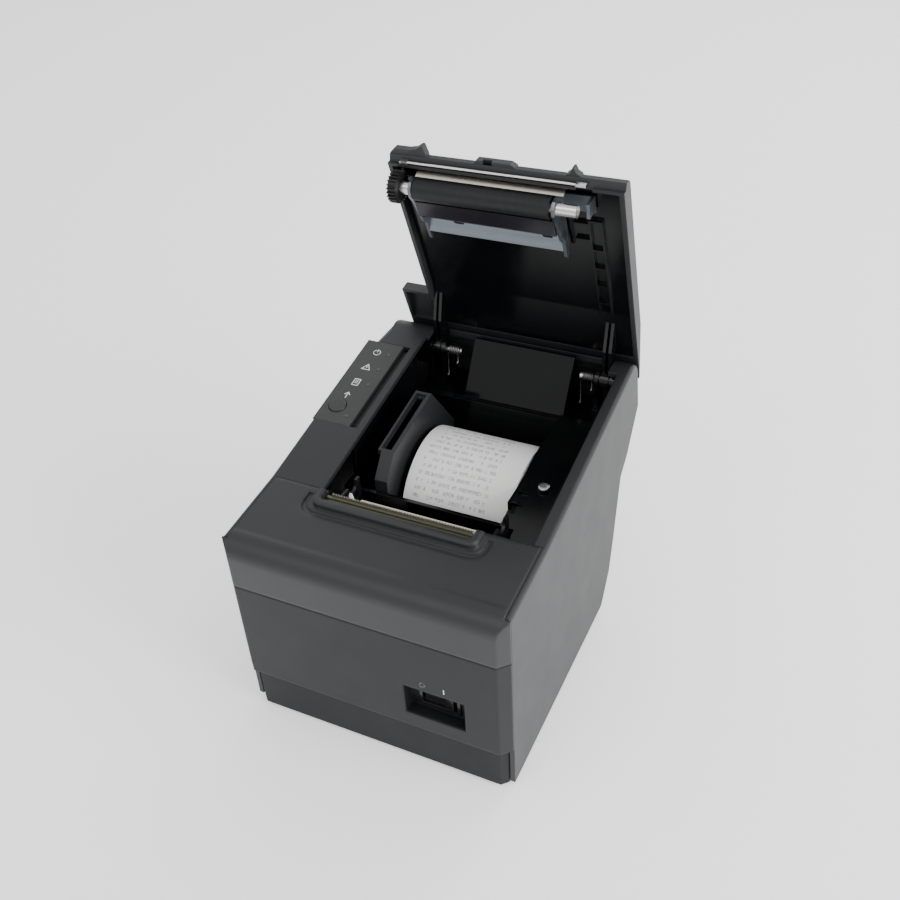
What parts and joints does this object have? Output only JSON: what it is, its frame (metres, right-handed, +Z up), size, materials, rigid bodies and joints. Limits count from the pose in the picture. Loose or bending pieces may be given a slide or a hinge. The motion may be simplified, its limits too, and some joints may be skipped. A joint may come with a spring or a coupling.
{
  "type": "receipt printer",
  "caption": "Desktop thermal receipt printer with its lid standing open, showing the paper roll, platen roller, cutter and print mechanism.",
  "frame": {"origin": "on the table, below the middle of the printer's overall box", "axes": "+X to the right, +Y from the front to the back, +Z up; the lid stands open at rest"},
  "size_m": [0.145, 0.184, 0.2549],
  "materials": {
    "casing_plastic": "fine-textured black ABS",
    "front_plastic": "satin charcoal ABS",
    "base_plastic": "textured black ABS",
    "inner_plastic": "smooth black ABS",
    "panel_plastic": "printed grey control panel",
    "button_plastic": "smooth grey button",
    "light_lens": "clear lens",
    "divider_plastic": "smooth grey divider",
    "switch_plastic": "polished black switch",
    "foot_rubber": "matt foot",
    "roller_rubber": "ground platen rubber",
    "gear_plastic": "moulded black gear",
    "paper": "smooth thermal paper",
    "core_card": "wound card core",
    "zinc_steel": "zinc-plated sheet steel",
    "bright_steel": "ground steel",
    "cutter_steel": "laminated steel guide",
    "heat_sink_metal": "extruded aluminium",
    "head_ceramic": "glazed ceramic head",
    "lever_plastic": "white sensor lever",
    "board_laminate": "green circuit board",
    "chip_plastic": "black components",
    "port_metal": "plated socket shell",
    "port_plastic": "black socket body",
    "motor_metal": "plated motor can",
    "screw_metal": "plated screw"
  },
  "bodies": {
    "printer": {"main_housing": "casing_plastic", "front_panel": "front_plastic", "top_cap": "front_plastic", "base_tray": "base_plastic", "rubber_feet": "foot_rubber", "case_screws": "screw_metal", "main_board": "board_laminate", "board_components": "chip_plastic", "connector_plate": "port_plastic", "network_jack": "port_metal", "usb_socket": "port_metal", "drawer_jack": "port_plastic", "power_inlet": "port_plastic", "paper_well": "inner_plastic", "well_screw": "screw_metal", "rear_bulkhead": "inner_plastic", "hinge_bracket_left": "inner_plastic", "hinge_bracket_right": "inner_plastic", "hinge_pin_left": "bright_steel", "hinge_pin_right": "bright_steel", "torsion_spring_left": "bright_steel", "torsion_spring_right": "bright_steel", "paper_divider": "divider_plastic", "mechanism_frame": "zinc_steel", "idler_axle": "bright_steel", "feed_motor": "motor_metal", "head_pivot_rod": "bright_steel", "cutter_guide": "cutter_steel", "tear_bar": "bright_steel", "cutter_housing": "zinc_steel", "cutter_motor": "motor_metal", "cover_sensor_lever": "lever_plastic", "control_panel": "panel_plastic", "indicator_lights": "light_lens", "button_board": "board_laminate", "power_switch_body": "switch_plastic"},
    "lid": {"lid_cover": "casing_plastic", "lid_liner": "inner_plastic", "platen_bracket": "zinc_steel", "platen_bush_left": "bright_steel", "platen_bush_right": "bright_steel", "paper_guide": "inner_plastic", "fixed_blade": "bright_steel", "wire_rod": "bright_steel", "bracket_screws": "screw_metal"},
    "platen": {"platen_roller": "roller_rubber", "platen_shaft": "bright_steel", "platen_gear": "gear_plastic"},
    "idler": {"idler_gear": "gear_plastic"},
    "motor_rotor": {"motor_pinion": "gear_plastic", "motor_shaft": "bright_steel"},
    "roll": {"paper_roll": "paper", "roll_core": "core_card"},
    "head": {"print_head": "head_ceramic", "head_heat_sink": "heat_sink_metal"},
    "cutter_blade": {"moving_blade": "bright_steel"},
    "button": {"feed_button": "button_plastic"},
    "rocker": {"power_rocker": "switch_plastic"}
  },
  "joints": [
    {"name": "lid_hinge", "type": "hinge", "parent": "printer", "child": "lid", "pos_m": [0, 0.0788, 0.1278], "axis": [1, 0, 0], "range_deg": [0, 80], "stiffness_Nm_per_rad": 0.06, "springref_deg": -57.3},
    {"name": "platen_spin", "type": "hinge", "parent": "lid", "child": "platen", "pos_m": [0, 0.0454, 0.23544], "axis": [1, 0, 0], "continuous": true},
    {"name": "idler_spin", "type": "hinge", "parent": "printer", "child": "idler", "pos_m": [0, -0.033, 0.09728], "axis": [1, 0, 0], "continuous": true},
    {"name": "motor_spin", "type": "hinge", "parent": "printer", "child": "motor_rotor", "pos_m": [0, -0.036, 0.0843], "axis": [1, 0, 0], "continuous": true},
    {"name": "roll_spin", "type": "hinge", "parent": "printer", "child": "roll", "pos_m": [0, 0.019, 0.0782], "axis": [1, 0, 0], "continuous": true},
    {"name": "head_tilt", "type": "hinge", "parent": "printer", "child": "head", "pos_m": [0, -0.042, 0.1002], "axis": [1, 0, 0], "range_deg": [0, 2.5], "stiffness_Nm_per_rad": 1, "springref_deg": -5.73},
    {"name": "cutter_slide", "type": "slide", "parent": "printer", "child": "cutter_blade", "axis": [0, 1, 0], "range_m": [0, 0.0034]},
    {"name": "button_press", "type": "slide", "parent": "printer", "child": "button", "axis": [0, 0.1754, -0.9845], "range_m": [0, 0.001], "stiffness_N_per_m": 300},
    {"name": "rocker_tilt", "type": "hinge", "parent": "printer", "child": "rocker", "pos_m": [0.0355, -0.0826, 0.047], "axis": [0, 0, 1], "range_deg": [0, 16]}
  ],
  "couplings": [
    {"joint": "motor_spin", "follows": "idler_spin", "ratio": -2.1429}
  ]
}
